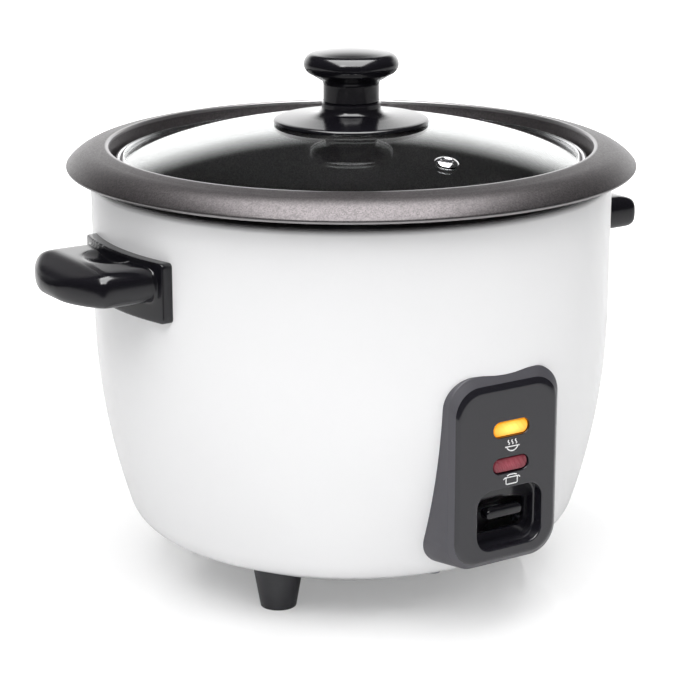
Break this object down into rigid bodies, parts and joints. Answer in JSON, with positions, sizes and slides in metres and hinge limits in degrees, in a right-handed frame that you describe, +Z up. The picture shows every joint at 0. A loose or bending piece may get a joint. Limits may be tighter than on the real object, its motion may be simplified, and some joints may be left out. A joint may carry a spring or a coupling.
{
  "type": "rice cooker",
  "caption": "Rice cooker: white steel body, lift-out pot with a flared rim, domed glass lid with a knob, side handles and a magnetic cook lever on the front panel.",
  "frame": {"origin": "on the floor under the body's axis", "axes": "+Z up, control panel towards -Y, handles towards +X and -X, power inlet towards +Y"},
  "size_m": [0.2888, 0.24, 0.2239],
  "materials": {
    "white_enamel": "gloss white baked enamel on drawn steel",
    "spun_aluminium": "spun, lightly brushed",
    "zinc_plated_steel": "zinc plated sheet",
    "cast_aluminium": "die cast, machined top",
    "screw_steel": "zinc plated screws",
    "heater_tube": "heat-dulled steel tube",
    "ceramic": "glazed ceramic",
    "black_phenolic": "gloss black moulded phenolic",
    "charcoal_plastic": "satin charcoal moulded plastic",
    "foot_plastic": "matt dark moulded plastic",
    "amber_lens": "lit amber translucent plastic",
    "red_lens": "unlit red translucent plastic",
    "lamp_glass": "clear glass bulb",
    "white_plastic": "white heat-proof plastic",
    "switch_plastic": "black switch body",
    "brass_contact": "tinned brass",
    "ferrite": "sintered ferrite",
    "spring_steel": "bright spring wire",
    "nonstick_metal": "dark sparkling non-stick coating on aluminium",
    "stainless": "polished stainless steel",
    "clear_glass": "clear tempered glass",
    "silicone": "silicone gasket",
    "glass_sleeve": "silicone coated glass-fibre sleeving"
  },
  "bodies": {
    "housing": {"outer_shell": "white_enamel", "inner_liner": "spun_aluminium", "base_plate": "zinc_plated_steel", "foot_left": "foot_plastic", "foot_right": "foot_plastic", "foot_rear": "foot_plastic", "foot_screws": "screw_steel", "base_screws": "screw_steel", "heating_plate": "cast_aluminium", "heating_element": "heater_tube", "element_bushings": "ceramic", "heater_screws": "screw_steel", "lever_bracket": "zinc_plated_steel", "bracket_screws": "screw_steel", "lever_pivot_pin": "spring_steel", "pivot_clips": "spring_steel", "microswitch": "switch_plastic", "switch_terminals": "brass_contact", "switch_screws": "screw_steel", "sensor_spring": "spring_steel", "release_spring": "spring_steel", "keep_warm_thermostat": "ceramic", "thermal_fuse": "brass_contact", "thermal_fuse_clip": "zinc_plated_steel", "control_panel": "charcoal_plastic", "lens_warm": "amber_lens", "lens_cook": "red_lens", "lamp_warm": "lamp_glass", "lamp_cook": "lamp_glass", "lamp_holder": "white_plastic", "panel_screws": "screw_steel", "left_handle": "black_phenolic", "right_handle": "black_phenolic", "handle_screws": "screw_steel", "inlet_socket": "switch_plastic", "inlet_pins": "brass_contact", "inlet_screws": "screw_steel", "wiring": "glass_sleeve"},
    "sensor": {"sensor_cap": "spun_aluminium", "ferrite_disc": "ferrite"},
    "magnet": {"magnet": "ferrite", "magnet_rod": "brass_contact"},
    "lever": {"lever_arm": "zinc_plated_steel", "lever_knob": "black_phenolic"},
    "plunger": {"switch_plunger": "red_lens"},
    "pot": {"inner_pot": "nonstick_metal"},
    "lid": {"lid_glass": "clear_glass", "lid_rim": "stainless", "vent_grommet": "stainless", "knob_base": "black_phenolic", "knob": "black_phenolic", "knob_screw": "screw_steel", "knob_washer": "silicone"}
  },
  "joints": [
    {"name": "pot_lift", "type": "slide", "parent": "housing", "child": "pot", "axis": [0, 0, 1], "range_m": [0, 0.18]},
    {"name": "lid_lift", "type": "slide", "parent": "pot", "child": "lid", "axis": [0, 0, 1], "range_m": [0, 0.16]},
    {"name": "lever_pivot", "type": "hinge", "parent": "housing", "child": "lever", "pos_m": [0, -0.04, 0.031], "axis": [1, 0, 0], "range_deg": [0, 6], "stiffness_Nm_per_rad": 0.1, "springref_deg": -11.46},
    {"name": "magnet_lift", "type": "slide", "parent": "housing", "child": "magnet", "axis": [0, 0, 1], "range_m": [0, 0.0043], "deforming": ["release_spring"]},
    {"name": "plunger_press", "type": "slide", "parent": "housing", "child": "plunger", "axis": [0, 0, -1], "range_m": [0, 0.0022]},
    {"name": "sensor_travel", "type": "slide", "parent": "housing", "child": "sensor", "axis": [0, 0, 1], "range_m": [0, 0.0036], "deforming": ["sensor_spring"]}
  ],
  "couplings": [
    {"joint": "magnet_lift", "follows": "lever_pivot", "m_per_rad": 0.04},
    {"joint": "plunger_press", "follows": "lever_pivot", "m_per_rad": 0.02},
    {"joint": "sensor_travel", "follows": "pot_lift", "ratio": 0.0194}
  ]
}
